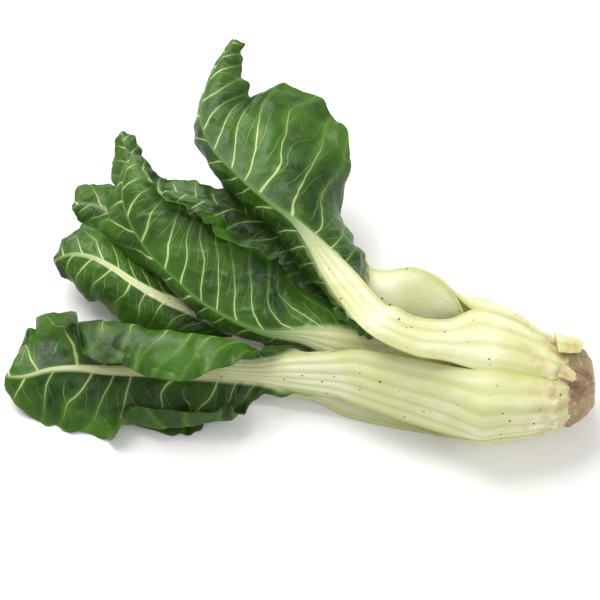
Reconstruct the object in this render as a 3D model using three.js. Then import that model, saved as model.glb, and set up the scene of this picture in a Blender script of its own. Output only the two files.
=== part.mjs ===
// One head of white-stalked Swiss chard, pulled and trimmed, lying on its side.
// Millimetres, +Z up. The cut crown points along +X, the leaf tips along -X, and the
// plant lies on the plane z = 0. Each leaf is one stalk, which runs on as the midrib,
// and one blade; they are separate closed solids that lie close along each other.
import * as THREE from 'three';

// ---- driving dimensions -------------------------------------------------------
const ORIGIN = [-210.2, 130.2, 0];  // where the middle of the plant's footprint lies
const BLADE_THICK = 1.4;            // leaf blade, with its veins
const CLEAR = 0.8;                  // air between a blade and the midrib along it
const STALK_WALL = 10;              // stalk thickness at the bundle
const RING_STEP = 0.36;             // how much smaller each ring of stalks is than the one outside it
const BLADE_ROWS = 15, BLADE_COLS = 5, STALK_SIDES = 6, RIB_TAIL = 2.4;

// The stalks' bases stand round this axis, in rings that widen away from the crown:
// x, then y and z of the middle, then the outer ring's half width and half height.
const BUNDLE = [
  [4, 6, 41, 38, 29],
  [-10, 10, 41, 46, 32],
  [-24, 14, 41, 53, 34],
  [-41, 17, 42, 58, 36],
  [-60, 19, 42, 62, 36],
];

const COLOURS = {
  stalk: new THREE.Color('#e4e8bd'),
  blade: new THREE.Color('#2f5f26'),
  crown: new THREE.Color('#a08a62'),
};

// ---- the leaves -----------------------------------------------------------------
// base:  ring, turn round the axis (0 up, 90 to the front) and half span, in degrees
// free:  x, y, z, way the back of the stalk faces (as turn), width, thickness, half bend
// blade: midrib x, y, z and width | left half | right half, seen from the crown;
//        a half is its width, its slope at the midrib and at the margin (90 is up),
//        the turn of the crease across it, and how far its margin leads to the tip
const LEAVES = {
  crest: {
    base: [0, -12, 28],
    free: [[-85, 26, 82, -10, 44, 10, 28], [-112, 25, 90, -5, 38, 9, 24],
      [-134, 32, 96, 5, 34, 9, 22]],
    crease: [0.5, 0.5],
    blade: [
      [[-148, 42, 93, 32], [12, -15, -35], [12, -12, -35]],
      [[-165, 65, 95, 29], [20, -30, -80], [36, -15, -90, 0, -5]],
      [[-180, 85, 99, 26], [36, -25, -120], [48, -15, -65, 0, -5]],
      [[-195, 105, 104, 22], [40, -30, -120], [54, -10, -60, 0, -10]],
      [[-212, 125, 108, 16], [40, -40, -125], [65, 0, -80, 0, -15]],
      [[-233, 142, 111, 10], [38, -60, -120], [92, 5, -25, 0, -20]],
      [[-257, 165, 113, 7], [42, -65, -120], [112, 10, -25, 0, 5]],
      [[-282, 195, 115, 5], [42, -65, -125], [94, 12, -25, 0, 30]],
      [[-292, 225, 118, 4], [44, -55, -135], [52, 20, -50, 0, 20]],
      [[-287, 255, 120, 3], [34, -60, -125], [30, 20, -55, 0, 20]],
      [[-275, 285, 121, 2.5], [20, -45, -125, 0, -10], [14, 20, -70, 0, 15]],
      [[-264, 305, 121, 2], [5, -60, -100], [5, 0, -50]],
    ],
  },
  front: {
    base: [0, 58, 38],
    free: [[-85, -19, 56, 54, 62, 10, 32], [-125, -5, 54, 51, 55, 10, 27],
      [-160, 8, 50, 50, 50, 9, 24]],
    crease: [0.7, 0.5],
    blade: [
      [[-180, 15, 42, 44], [22, -50, -60], [20, 50, 50]],
      [[-215, 20, 36, 32], [20, -45, -55], [20, 50, 45]],
      [[-245, 22, 32, 20], [24, -35, -50], [45, 45, 60, 85]],
      [[-275, 24, 31, 18], [60, -25, -30, 135, -15], [75, 50, 95, 90]],
      [[-305, 24, 28, 12], [64, -25, -35, 145, -25], [90, 50, 105, 100, -5]],
      [[-340, 26, 26, 8], [72, -25, -30, 150, -30], [95, 45, 100, 100, -10]],
      [[-370, 27, 25, 6.5], [68, -25, -25, 150, -25], [96, 30, 90, 100, -15]],
      [[-395, 28, 27, 5], [60, -25, -20, 0, -25], [86, 20, 85, 100, -10]],
      [[-418, 26, 28, 4], [52, -30, -35], [50, 5, 10, 40, -20]],
      [[-438, 20, 28, 3], [40, -40, -50], [56, 0, -25, 0, -15]],
      [[-450, 20, 26, 2.5], [28, -35, -55, 0, -5], [48, 5, -10]],
      [[-457, 22, 24, 2], [14, -35, -55], [24, 5, -10, 0, -5]],
    ],
  },
  middle: {
    base: [1, 14, 33],
    free: [[-85, 18, 62, 8, 34, 9, 22], [-120, 26, 57, 4, 34, 9, 20]],
    crease: [0.5, 0.75],
    blade: [
      [[-145, 34, 50, 32], [8, -40, -80], [6, 30, -30]],
      [[-175, 40, 50, 30], [16, -50, -95], [30, 30, -25]],
      [[-205, 46, 52, 20], [14, -55, -90], [45, 25, -20]],
      [[-235, 48, 53, 16], [20, -60, -125], [60, 20, 20]],
      [[-260, 58, 54, 10], [26, -50, -130], [70, 25, 5, 80]],
      [[-288, 74, 57, 7], [26, -45, -130], [80, 25, 5, 130, 20]],
      [[-312, 95, 61, 5], [26, -60, -130], [86, 30, 0, 150, 12]],
      [[-335, 118, 67, 4], [26, -60, -110], [75, 30, 0, 135]],
      [[-353, 145, 75, 3.5], [30, -35, -45, 0, 10], [50, 30, -5, 110]],
      [[-360, 172, 80, 3], [20, -40, -50, 0, -15], [34, 40, -10, 80]],
      [[-356, 195, 85, 2.5], [8, -40, -60, 0, -10], [15, 20, -10]],
      [[-352, 208, 86, 2], [4, -30, -60], [6, -5, -20]],
    ],
  },
  side: {
    base: [1, 112, 36],
    free: [[-85, 8, 29, 140, 34, 9, 24], [-125, 28, 29, 158, 30, 8, 20],
      [-172, 46, 27, 170, 26, 7, 18], [-225, 60, 25, 176, 20, 6, 16]],
    ribBelow: true,
    crease: [0.5, 0.5],
    blade: [
      [[-262, 70, 25, 14], [10, -15, -45], [12, 0, -20, 0, 10]],
      [[-298, 85, 28, 10], [26, -15, -50], [32, 0, -20, 0, 25]],
      [[-327, 94, 34, 7], [32, -5, -70, 0, -15], [38, 0, -15, 0, 25]],
      [[-350, 104, 42, 5], [35, -5, -65, 0, -25], [36, -5, -20, 0, 25]],
      [[-368, 115, 47, 4], [35, -5, -80, 0, -20], [34, 0, -35, 0, 25]],
      [[-387, 125, 49, 3], [40, -15, -85, 0, -10], [34, 0, -30, 0, 20]],
      [[-406, 129, 47, 2.5], [34, -15, -80], [30, -5, -25]],
      [[-421, 126, 41, 2], [14, -25, -75], [10, -25, -40, 0, -5]],
    ],
  },
  back: {
    base: [1, -68, 26],
    free: [[-85, 64, 56, -118, 50, 9, 18], [-116, 82, 54, -138, 54, 9, 14]],
    ribBelow: true,
    crease: [0.5, 0.5],
    blade: [
      [[-146, 94, 51, 40], [24, 0, 10, 0, -10], [16, 30, 40, 0, 10]],
      [[-175, 114, 51, 28], [30, -5, 0, 0, -15], [24, 15, 20, 0, 5]],
      [[-207, 137, 53, 18], [38, -10, -5, 0, -15], [28, 15, 10, 0, 10]],
      [[-236, 157, 55, 12], [38, -10, -10, 0, -15], [30, 15, 10, 0, 5]],
      [[-264, 170, 57, 8], [36, -10, -10, 0, -5], [18, 20, 10]],
      [[-291, 178, 58, 5], [30, -10, -20, 0, -5], [14, 15, 0]],
      [[-311, 186, 58, 4], [18, -15, -25, 0, -5], [14, 10, 0]],
      [[-327, 190, 56, 3], [8, -20, -40], [8, 10, 0]],
    ],
  },
  far: {
    base: [1, -160, 36],
    free: [[-85, 46, 21, -158, 30, 8, 22], [-125, 56, 23, -166, 28, 7, 20],
      [-172, 78, 25, -174, 24, 7, 18], [-225, 106, 28, 180, 18, 6, 16]],
    ribBelow: true,
    crease: [0.5, 0.5],
    blade: [
      [[-264, 134, 37, 12], [10, -5, -5, 0, -5], [16, -5, -5, 0, 5]],
      [[-298, 163, 45, 8], [20, -5, -5, 0, -5], [25, -5, -5, 0, 5]],
      [[-330, 188, 50, 6], [28, -5, -10, 0, -5], [18, 0, -10]],
      [[-348, 213, 54, 4], [28, -5, -25], [12, 0, -60, 0, -5]],
      [[-359, 229, 58, 3], [20, -15, -40], [12, 5, -30, 0, -5]],
      [[-364, 240, 60, 2.5], [10, -30, -50], [10, 0, -25]],
      [[-366, 250, 60, 2], [4, -30, -60], [4, -20, -30]],
    ],
  },
  small: {
    base: [2, 60, 60],
    free: [[-85, 24, 46, 60, 16, 7, 18], [-125, 36, 44, 110, 16, 6, 16],
      [-172, 56, 40, 150, 15, 6, 14], [-225, 82, 36, 172, 13, 6, 12]],
    ribBelow: true,
    crease: [0.5, 0.5],
    blade: [
      [[-268, 106, 36, 10], [4, -10, -10], [5, 0, 0]],
      [[-312, 136, 33, 7], [8, -10, -10], [12, 0, 0, 0, 5]],
      [[-346, 158, 36, 5], [16, -15, -20], [20, 0, -15, 0, 5]],
      [[-371, 177, 38, 4], [20, -15, -35], [26, -5, -20, 0, 10]],
      [[-389, 186, 38, 3], [20, -10, -45], [28, 0, -20]],
      [[-402, 187, 38, 2.5], [14, -15, -60, 0, 5], [20, -5, -15, 0, -10]],
      [[-409, 182, 37, 2], [4, -20, -60], [6, -20, -45, 0, -10]],
    ],
  },
  heart: {
    base: [1, -32, 6],
    free: [[-92, 44, 68, -24, 12, 5, 16]],
    crease: [0.5, 0.5],
    blade: [
      [[-119, 35, 74, 9], [4, 0, 0], [4, 0, 0]],
      [[-143, 40, 74, 6], [8, -10, -30, 0, -5], [8, 0, -10]],
      [[-160, 51, 74, 4], [10, -25, -45, 0, -10], [12, 0, -10]],
      [[-171, 58, 74, 3], [8, -25, -55, 0, -10], [10, 0, -10]],
      [[-177, 64, 73, 2], [4, -25, -60], [6, 0, -10]],
    ],
  },
  under: {
    base: [0, 140, 40],
    free: [[-80, 4, 4, 178, 58, 11, 8], [-122, 9, 3.8, 180, 50, 10, 6],
      [-164, 15, 4, 180, 40, 9, 6]],
    ribBelow: true,
    crease: [0.5, 0.5],
    blade: [
      [[-195, 19, 14, 28], [8, -5, -5], [16, 0, -5]],
      [[-240, 21, 11, 18], [5, -5, -10], [22, 0, -10]],
      [[-282, 20, 8, 11], [22, -5, -10, 0, -5], [30, 0, -5]],
      [[-323, 18, 6, 8], [42, -5, -5, 0, -20], [38, 0, -5]],
      [[-364, 18, 6, 5], [34, -5, -5, 0, -25], [36, 0, -5]],
      [[-400, 20, 6, 3.5], [20, -10, -5, 0, -10], [24, 0, -5]],
      [[-430, 26, 6, 2.5], [8, -10, -10], [12, 0, -10]],
    ],
  },
  rear: {
    base: [0, -80, 36],
    free: [[-86, 90, 38, -100, 46, 10, 24], [-125, 106, 21, -136, 40, 9, 20],
      [-170, 120, 4, -178, 34, 8, 8]],
    ribBelow: true,
    crease: [0.5, 0.5],
    blade: [
      [[-205, 136, 9, 24], [14, 0, -2], [13, 0, -2]],
      [[-240, 150, 7, 14], [26, -2, -4], [24, 0, -4]],
      [[-275, 160, 7, 9], [36, -2, -4], [30, 0, -6]],
      [[-305, 168, 6, 6], [34, -2, -4], [28, 0, -6]],
      [[-330, 174, 5, 4], [22, -2, -4], [20, 0, -4]],
      [[-348, 177, 4.5, 2.5], [8, 0, -2], [8, 0, -2]],
    ],
  },
};

// ---- small vector and curve helpers ----------------------------------------------
const rad = THREE.MathUtils.degToRad;
const vec = (a) => new THREE.Vector3(a[0], a[1], a[2]);
const mixed = (pairs) => pairs.reduce((s, [v, k]) => s.addScaledVector(v, k), new THREE.Vector3());

// a value on the smooth curve through evenly spaced stations, 0 <= u <= 1
function along(list, u) {
  const last = list.length - 1, f = Math.min(u * last, last - 1e-9), i = Math.floor(f), t = f - i;
  const [a, b, c, d] = [i - 1, i, i + 1, i + 2].map((k) => list[Math.min(Math.max(k, 0), last)]);
  return b.map((_, k) => 0.5 * (2 * b[k] + (c[k] - a[k]) * t
    + (2 * a[k] - 5 * b[k] + 4 * c[k] - d[k]) * t * t
    + (3 * b[k] - a[k] - 3 * c[k] + d[k]) * t * t * t));
}

// the way the midrib runs, the level way to its left, and the way up square to both
function frameOf(tangent) {
  const run = tangent.clone().normalize();
  const left = new THREE.Vector3(0, 0, 1).cross(run).normalize();
  return { run, left, up: run.clone().cross(left) };
}

// ---- blades -----------------------------------------------------------------------
const pad = (half) => [0, 1, 2, 3, 4].map((k) => half[k] ?? 0);

// one row across a blade, from the left margin over the midrib to the right margin
function bladeRow(leaf, u) {
  const ribs = leaf.blade.map((row) => row[0]);
  const rib = vec(along(ribs, u));
  const [behind, ahead] = [Math.max(u - 0.03, 0), Math.min(u + 0.03, 1)].map((at) => vec(along(ribs, at)));
  const tangent = ahead.sub(behind);
  const { run, left, up } = frameOf(tangent);
  const row = [rib];
  for (const side of [1, -1]) {
    const [width, from, to, turn, lead] = along(leaf.blade.map((r) => pad(r[side === 1 ? 1 : 2])), u);
    const crease = leaf.crease[side === 1 ? 0 : 1];
    let at = rib;
    for (let j = 1, fine = 6; j <= BLADE_COLS; j++) {
      for (let k = 0; k < fine; k++) {
        const v = (j - 1 + (k + 0.5) / fine) / BLADE_COLS;
        const bent = turn * THREE.MathUtils.smoothstep(v, crease - 0.16, crease + 0.16);
        const slope = rad(from + (to - from) * v + bent);
        const step = width / BLADE_COLS / fine;
        at = mixed([[at, 1], [left, side * step * Math.cos(slope)], [up, step * Math.sin(slope)],
          [run, lead / BLADE_COLS / fine]]);
      }
      if (side === 1) row.unshift(at); else row.push(at);
    }
  }
  return row;
}

// a thin closed solid about a net of points
function sheetSolid(net, thick) {
  const rows = net.length, cols = net[0].length, sides = [];
  const at = (i, j) => net[Math.min(Math.max(i, 0), rows - 1)][Math.min(Math.max(j, 0), cols - 1)];
  for (const face of [0.5, -0.5]) {
    sides.push(net.map((row, i) => row.map((p, j) => {
      const across = at(i, j + 1).clone().sub(at(i, j - 1));
      const length = at(i + 1, j).clone().sub(at(i - 1, j));
      return p.clone().addScaledVector(across.cross(length).normalize(), face * thick);
    })));
  }
  const points = sides.flat(2), faces = [], id = (s, i, j) => (s * rows + i) * cols + j;
  const quad = (a, b, c, d) => faces.push(a, b, c, a, c, d);
  for (let i = 0; i < rows - 1; i++) {
    for (let j = 0; j < cols - 1; j++) {
      quad(id(0, i, j), id(0, i, j + 1), id(0, i + 1, j + 1), id(0, i + 1, j));
      quad(id(1, i, j), id(1, i + 1, j), id(1, i + 1, j + 1), id(1, i, j + 1));
    }
    quad(id(0, i, 0), id(0, i + 1, 0), id(1, i + 1, 0), id(1, i, 0));
    quad(id(0, i + 1, cols - 1), id(0, i, cols - 1), id(1, i, cols - 1), id(1, i + 1, cols - 1));
  }
  for (let j = 0; j < cols - 1; j++) {
    quad(id(0, 0, j + 1), id(0, 0, j), id(1, 0, j), id(1, 0, j + 1));
    quad(id(0, rows - 1, j), id(0, rows - 1, j + 1), id(1, rows - 1, j + 1), id(1, rows - 1, j));
  }
  return geometryOf(points, faces);
}

// ---- stalks ----------------------------------------------------------------------
// the wall thins towards both edges of the crescent
const wallAt = (s, thick) => thick * (1 - 0.7 * s * s);

// a crescent round the bundle's axis
function ringLoop([x, y, z, wide, high], [ring, turn, span]) {
  const thick = STALK_WALL * (0.6 + 0.4 * wide / BUNDLE.at(-1)[3]), size = 1 - ring * RING_STEP;
  const spot = (s, depth) => {
    const a = rad(turn + span * s), ry = wide * size - depth, rz = high * size - depth;
    return new THREE.Vector3(x, y - ry * Math.sin(a), z + rz * Math.cos(a));
  };
  return crescent((s, k) => spot(s, (k - 0.5) * wallAt(s, thick)));
}

// a crescent across a free stretch of stalk or midrib
function freeLoop(centre, run, back, width, thick, bend) {
  const out = back.clone().addScaledVector(run, -back.dot(run)).normalize();
  const across = out.clone().cross(run), radius = width / 2 / Math.sin(rad(bend));
  return crescent((s, k) => {
    const a = rad(bend * s), depth = k * wallAt(s, thick);
    return mixed([[centre, 1], [across, (radius - depth) * Math.sin(a)],
      [out, (radius - depth) * Math.cos(a) - radius + thick / 2]]);
  });
}

// the outer face from edge to edge, then the inner face back again
function crescent(spot) {
  const loop = [];
  for (let i = 0; i <= STALK_SIDES; i++) loop.push(spot(-1 + 2 * i / STALK_SIDES, 0));
  for (let i = STALK_SIDES; i >= 0; i--) loop.push(spot(-1 + 2 * i / STALK_SIDES, 1));
  return loop;
}

const facing = (turn) => new THREE.Vector3(0, -Math.sin(rad(turn)), Math.cos(rad(turn)));

function stalkLoops(leaf) {
  const loops = BUNDLE.map((station) => ringLoop(station, leaf.base));
  const stations = leaf.free.map(([x, y, z, turn, ...size]) => (
    { at: vec([x, y, z]), back: facing(turn), size }));
  leaf.blade.forEach(([rib, leftHalf, rightHalf], i) => {
    const ribs = leaf.blade.map((row) => vec(row[0]));
    const [behind, ahead] = [Math.max(i - 1, 0), Math.min(i + 1, ribs.length - 1)].map((k) => ribs[k]);
    const { left, up } = frameOf(ahead.clone().sub(behind));
    const side = leaf.ribBelow ? -1 : 1;
    const tilt = rad((rightHalf[1] - leftHalf[1]) / 2);
    const gutter = side * rad((rightHalf[1] + leftHalf[1]) / 2);
    const back = mixed([[up, side * Math.cos(tilt)], [left, side * Math.sin(tilt)]]);
    const width = rib[3], thick = Math.max(RIB_TAIL, Math.min(8, 1.6 + width * 0.2));
    const lift = BLADE_THICK / 2 + CLEAR + thick / 2 + Math.max(0, Math.tan(gutter)) * width / 2;
    stations.push({ at: vec(rib).addScaledVector(back, lift), back, size: [width, thick, 8 + width / 3] });
  });
  stations.forEach(({ at, back, size }, i) => {
    const before = i ? stations[i - 1].at : vec([at.x + 30, at.y - 6, at.z]);
    const run = (stations[i + 1]?.at ?? at).clone().sub(before).normalize();
    loops.push(freeLoop(at, run, back, ...size));
  });
  return loops;
}

// a closed solid through a row of loops, with flat ends
function loftSolid(loops) {
  const points = [], faces = [], n = loops[0].length;
  loops.forEach((loop) => points.push(...loop));
  for (let i = 0; i < loops.length - 1; i++) {
    for (let j = 0; j < n; j++) {
      const a = i * n + j, b = i * n + (j + 1) % n;
      faces.push(a, b, b + n, a, b + n, a + n);
    }
  }
  const cap = (start, flip) => {
    const half = n / 2;
    for (let j = 0; j < half - 1; j++) {
      const [a, b, c, d] = [j, j + 1, n - 2 - j, n - 1 - j].map((k) => start + k);
      faces.push(...(flip ? [a, c, b, a, d, c] : [a, b, c, a, c, d]));
    }
  };
  cap(0, true);
  cap((loops.length - 1) * n, false);
  return geometryOf(points, faces);
}

// ---- crown -----------------------------------------------------------------------
// x, y and z of the middle, half width, half height: a knob that ends in a flat cut
const CROWN = [[5, 6, 41, 37, 28], [11, 7, 41, 38, 29], [19, 8, 41, 38, 29],
  [27, 8, 41, 34, 26], [33, 7, 41, 28, 22], [38, 5, 41, 20, 17]];

function crownLoops(scale = 1) {
  return CROWN.map(([x, y, z, wide, high], i) => {
    const loop = [];
    for (let k = 0; k < 20; k++) {
      const a = k / 20 * 2 * Math.PI, knob = scale * (1 + 0.04 * Math.cos(5 * a + i));
      loop.push(new THREE.Vector3(x, y - wide * knob * Math.sin(a), z + high * knob * Math.cos(a)));
    }
    return loop;
  });
}

// stubs of trimmed leaves on the crown: the spot, the way each points, width, thickness
const STUBS = {
  stub_top: { from: [6, 29, 74], to: [27, 27, 70], back: -28, width: [30, 22], thick: [6, 4] },
  stub_side: { from: [7, 1, 75], to: [20, -6, 72.5], back: 14, width: [12, 8], thick: [4, 3] },
};

function stubLoops({ from, to, back, width, thick }) {
  const run = vec(to).sub(vec(from)).normalize();
  return [0, 0.5, 1].map((t) => freeLoop(vec(from).lerp(vec(to), t), run, facing(back),
    THREE.MathUtils.lerp(width[0], width[1], t), THREE.MathUtils.lerp(thick[0], thick[1], t), 30));
}

// ---- assembly ---------------------------------------------------------------------
// faces turned outwards, and nothing below the plane that the plant lies on
function geometryOf(points, faces) {
  const flat = points.flatMap((p) => [p.x, p.y, Math.max(p.z, 0)]);
  const [a, b, c] = [0, 1, 2].map(() => new THREE.Vector3());
  let volume = 0;
  for (let i = 0; i < faces.length; i += 3) {
    [a, b, c].forEach((v, k) => v.fromArray(flat, faces[i + k] * 3));
    volume += a.dot(b.cross(c));
  }
  if (volume < 0) for (let i = 0; i < faces.length; i += 3) faces.splice(i, 2, faces[i + 1], faces[i]);
  const geometry = new THREE.BufferGeometry();
  geometry.setAttribute('position', new THREE.Float32BufferAttribute(flat, 3));
  geometry.setIndex(faces);
  geometry.computeVertexNormals();
  return geometry;
}

const group = new THREE.Group();
group.position.set(-ORIGIN[0], -ORIGIN[1], -ORIGIN[2]);

function place(name, geometry, colour, roughness) {
  const material = new THREE.MeshStandardMaterial({ color: colour, roughness, metalness: 0 });
  const mesh = new THREE.Mesh(geometry, material);
  mesh.name = name;
  group.add(mesh);
}

for (const [name, leaf] of Object.entries(LEAVES)) {
  const rows = Array.from({ length: BLADE_ROWS }, (_, i) => bladeRow(leaf, i / (BLADE_ROWS - 1)));
  place(`${name}_stalk`, loftSolid(stalkLoops(leaf)), COLOURS.stalk, 0.45);
  place(`${name}_blade`, sheetSolid(rows, BLADE_THICK), COLOURS.blade, 0.4);
}
place('crown', loftSolid(crownLoops()), COLOURS.crown, 0.85);
for (const [name, stub] of Object.entries(STUBS)) {
  place(name, loftSolid(stubLoops(stub)), COLOURS.stalk, 0.6);
}

export default group;
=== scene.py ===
import bpy
import math
import numpy as np
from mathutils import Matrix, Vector, noise


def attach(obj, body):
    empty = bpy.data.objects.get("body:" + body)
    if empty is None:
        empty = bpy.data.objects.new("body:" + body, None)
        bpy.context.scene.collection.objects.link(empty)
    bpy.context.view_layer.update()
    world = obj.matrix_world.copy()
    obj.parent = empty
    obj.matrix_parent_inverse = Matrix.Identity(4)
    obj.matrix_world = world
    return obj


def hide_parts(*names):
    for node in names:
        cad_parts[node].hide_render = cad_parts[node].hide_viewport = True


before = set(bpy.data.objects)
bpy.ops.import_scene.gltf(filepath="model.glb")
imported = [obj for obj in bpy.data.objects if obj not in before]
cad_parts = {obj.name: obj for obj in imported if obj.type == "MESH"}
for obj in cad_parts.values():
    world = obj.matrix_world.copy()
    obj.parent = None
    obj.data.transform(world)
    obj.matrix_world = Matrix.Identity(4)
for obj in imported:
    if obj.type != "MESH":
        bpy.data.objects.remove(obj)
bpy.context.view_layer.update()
bpy.ops.object.select_all(action="DESELECT")

mm = 0.001
plantOrigin = np.array([-210.2, 130.2, 0.0])  # the middle of the footprint, in the plant's own millimetres
bladeThick = 1.1

# the bundle's axis near the crown: x, then y, z of the middle, then half width and half height
bundleAxis = [
    [4, 6, 41, 38, 29],
    [-10, 10, 41, 46, 32],
    [-24, 14, 41, 53, 34],
    [-41, 17, 42, 58, 36],
    [-60, 19, 42, 62, 36],
]
ringStep = 0.36  # each ring of stalks is this much smaller than the one outside it
stalkWall = 10


# ---- helpers for curves and noise
def smooth(low, high, x):
    t = np.clip((x - low) / (high - low), 0, 1)
    return t * t * (3 - 2 * t)


def throughStations(stations, t):
    # a smooth curve through evenly spaced stations, t from 0 to 1, all at once
    stations = np.asarray(stations, float)
    last = len(stations) - 1
    f = np.clip(np.asarray(t, float) * last, 0, last - 1e-9)
    i = np.floor(f).astype(int)
    w = (f - i).reshape((-1,) + (1,) * (stations.ndim - 1))
    a, b, c, d = (stations[np.clip(i + k, 0, last)] for k in (-1, 0, 1, 2))
    return 0.5 * (2 * b + (c - a) * w + (2 * a - 5 * b + 4 * c - d) * w ** 2
                  + (3 * b - a - 3 * c + d) * w ** 3)


def bumps(points, size, seed, depth=3):
    # soft repeatable noise at points in millimetres, about -1 to 1
    shift = Vector((seed * 7.31, seed * 3.17, seed * 5.77))
    return np.array([noise.fractal(Vector(p) / size + shift, 1.0, 2.0, depth) for p in points])


def unit(v):
    return v / np.maximum(np.linalg.norm(v, axis=-1, keepdims=True), 1e-9)


def startMesh(name):
    piece = bpy.context.active_object
    piece.name = name
    piece.data.name = name
    return piece


def placeVertices(piece, points, lowest=0.0):
    # points in the plant's millimetres go to metres, none below the plane that the plant lies on
    spots = (np.asarray(points) - plantOrigin) * mm
    spots[:, 2] = np.maximum(spots[:, 2], lowest * mm)
    piece.data.vertices.foreach_set("co", spots.astype(np.float32).ravel())
    piece.data.update()


def readVertices(piece):
    co = np.empty(len(piece.data.vertices) * 3, np.float32)
    piece.data.vertices.foreach_get("co", co)
    return co.reshape(-1, 3).astype(float)


def addField(piece, name, values):
    field = piece.data.attributes.new(name, "FLOAT", "POINT")
    field.data.foreach_set("value", np.asarray(values, np.float32))


def finishShade(piece):
    bpy.ops.object.mode_set(mode="OBJECT")
    bpy.ops.object.shade_smooth()


# ---- one leaf blade from a flat grid
def growBlade(name, leaf, material):
    alongCuts, acrossCuts = leaf["grid"]
    bpy.ops.mesh.primitive_grid_add(x_subdivisions=alongCuts, y_subdivisions=acrossCuts, size=2)
    blade = startMesh(name + "Blade")
    flat = readVertices(blade)
    column = np.rint((flat[:, 0] + 1) / 2 * alongCuts).astype(int)
    line = np.rint((flat[:, 1] + 1) / 2 * acrossCuts).astype(int)
    half = acrossCuts // 2
    u = np.arange(alongCuts + 1) / alongCuts
    ribs = np.array([row[0][:3] for row in leaf["blade"]], float)
    rib = throughStations(ribs, u)
    behind, ahead = (throughStations(ribs, np.clip(u + shift, 0, 1)) for shift in (-0.03, 0.03))
    run = unit(ahead - behind)
    left = unit(np.cross([0, 0, 1], run))
    up = np.cross(run, left)
    net = np.zeros((alongCuts + 1, acrossCuts + 1, 3))
    dist = np.zeros((alongCuts + 1, acrossCuts + 1))
    net[:, half] = rib
    for side, part in ((1, 1), (-1, 2)):
        halves = [(row[part] + [0, 0])[:5] for row in leaf["blade"]]
        width, slopeIn, slopeOut, turn, lead = throughStations(halves, u).T
        crease = leaf["crease"][part - 1]
        v = (np.arange(half) + 0.5) / half
        slope = np.radians(slopeIn[:, None] + (slopeOut - slopeIn)[:, None] * v
                           + turn[:, None] * smooth(crease - 0.16, crease + 0.16, v))
        step = (width / half)[:, None]
        move = (left[:, None] * (side * step * np.cos(slope))[..., None]
                + up[:, None] * (step * np.sin(slope))[..., None]
                + run[:, None] * (lead / half)[:, None, None])
        spots = rib[:, None] + np.cumsum(move, axis=1)
        far = np.cumsum(np.broadcast_to(step, slope.shape), axis=1)
        if side == 1:
            net[:, half + 1:] = spots
            dist[:, half + 1:] = far
        else:
            net[:, :half] = spots[:, ::-1]
            dist[:, :half] = -far[:, ::-1]
    pale = 1 - smooth(leaf["ribFade"][0], leaf["ribFade"][1], u)
    ribWidth = throughStations([[row[0][3]] for row in leaf["blade"]], u)[:, 0] * (0.45 + 0.55 * pale)
    across = np.abs(np.arange(acrossCuts + 1) - half) / half
    length = np.concatenate([[0], np.cumsum(np.linalg.norm(np.diff(rib, axis=0), axis=1))])
    normal = unit(np.cross(np.gradient(net, axis=0), np.gradient(net, axis=1)))

    # lateral veins leave the midrib in pairs and sweep to the tip
    seed = leaf["seed"]
    flatNet = net.reshape(-1, 3)
    wander = bumps(flatNet, 70, seed, 2).reshape(dist.shape)
    crumple = 1 - 2 * np.abs(bumps(flatNet, leaf["puckerSize"] * 1.5, seed + 3, 2)).reshape(dist.shape)
    bulge = bumps(flatNet, leaf["puckerSize"], seed + 1, 3).reshape(dist.shape)
    fine = bumps(flatNet, 7, seed + 2, 2).reshape(dist.shape)
    sideShift = np.where(np.arange(acrossCuts + 1) > half, 0.0, 0.45)
    sweep = leaf["veinSweep"] * (1 + 1.3 * (1 - smooth(0, 0.5, u)))
    phase = (length[:, None] / leaf["veinGap"] - np.abs(dist) ** 0.9 * sweep[:, None] / leaf["veinGap"]
             + sideShift + 0.7 * wander + 0.10 * bulge + 40)
    gap = np.abs((phase + 0.5) % 1 - 0.5) * 2  # 0 on a vein, 1 between two
    openness = smooth(0, 0.2, across)[None, :] * np.ones_like(dist)
    edge = across[None, :] ** 4 * smooth(0, 0.12, u)[:, None]
    ruffle = np.sin(length[:, None] / leaf["ruffleSize"] * 2 * math.pi + 3 * wander + seed) * edge
    raised = np.exp(-(gap / 0.12) ** 2) * (1 - 0.6 * across) * openness
    relief = (leaf["pucker"] * (bulge + 0.9 * crumple ** 3 + 0.7 * (gap ** 0.8 - 0.5)) * openness
              + 0.35 * fine * openness
              + leaf["ruffle"] * ruffle + leaf["veinRelief"] * raised)
    outward = unit(net - rib[:, None]) * (across[None, :, None] ** 3)
    scallop = np.sin(length[:, None] / leaf["ruffleSize"] * 3.3 * math.pi + 5 * wander) * 1.1 + 2.2 * bulge
    net = net + normal * relief[..., None] + outward * scallop[..., None] * smooth(0, 0.1, u)[:, None, None]

    placeVertices(blade, net[column, line], lowest=bladeThick / 2)
    addField(blade, "veinPhase", phase[column, line])
    addField(blade, "fromRib", np.abs(dist[column, line]) / (ribWidth[column] / 2 + 0.8))
    addField(blade, "across", across[line])
    addField(blade, "ribPale", pale[column])
    piece = shell(blade, bladeThick * mm)
    finishShade(piece)
    piece.data.materials.append(material)
    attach(piece, "root")
    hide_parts(name + "_blade")
    print("blade grown:", name, len(piece.data.polygons))
    return piece


def shell(piece, thick):
    solid = piece.modifiers.new("wall", "SOLIDIFY")
    solid.thickness = thick
    solid.offset = 0
    bpy.ops.object.modifier_apply(modifier=solid.name)
    return piece


# ---- one stalk and its midrib from a sphere, ring by ring
def wallAt(s, thick):
    return thick * (1 - 0.7 * s * s)


def ridges(s, count):
    # rounded ribs with soft valleys between them, finer strings on top
    broad = 0.5 + 0.5 * np.cos(math.pi * count * (s + 0.08 * np.sin(2.6 * s + count)))
    return 0.85 * broad ** 0.8 + 0.15 * (0.5 + 0.5 * np.cos(math.pi * count * 2.7 * s))


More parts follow.
